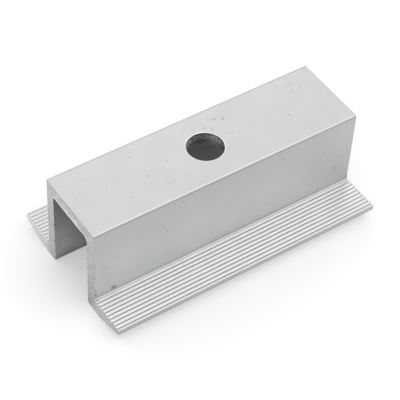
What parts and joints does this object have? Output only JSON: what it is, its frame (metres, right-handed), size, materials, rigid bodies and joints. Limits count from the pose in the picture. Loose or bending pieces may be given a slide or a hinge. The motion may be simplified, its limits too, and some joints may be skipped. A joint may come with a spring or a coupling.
{
  "type": "solar mid clamp",
  "caption": "Extruded aluminium hat-section clamp that holds neighbouring solar modules down on a rail, with a bolt hole in its web and ribbed gripping flanges along both walls.",
  "frame": {"origin": "middle of the clamp's length and width, on the plane of the undersides it stands on", "axes": "+X along the extrusion, +Y across it towards the back wall, +Z from the undersides up to the web"},
  "size_m": [0.072, 0.0414, 0.0255],
  "materials": {
    "aluminium": "satin"
  },
  "bodies": {
    "root": {"clamp_body": "aluminium"}
  },
  "joints": []
}
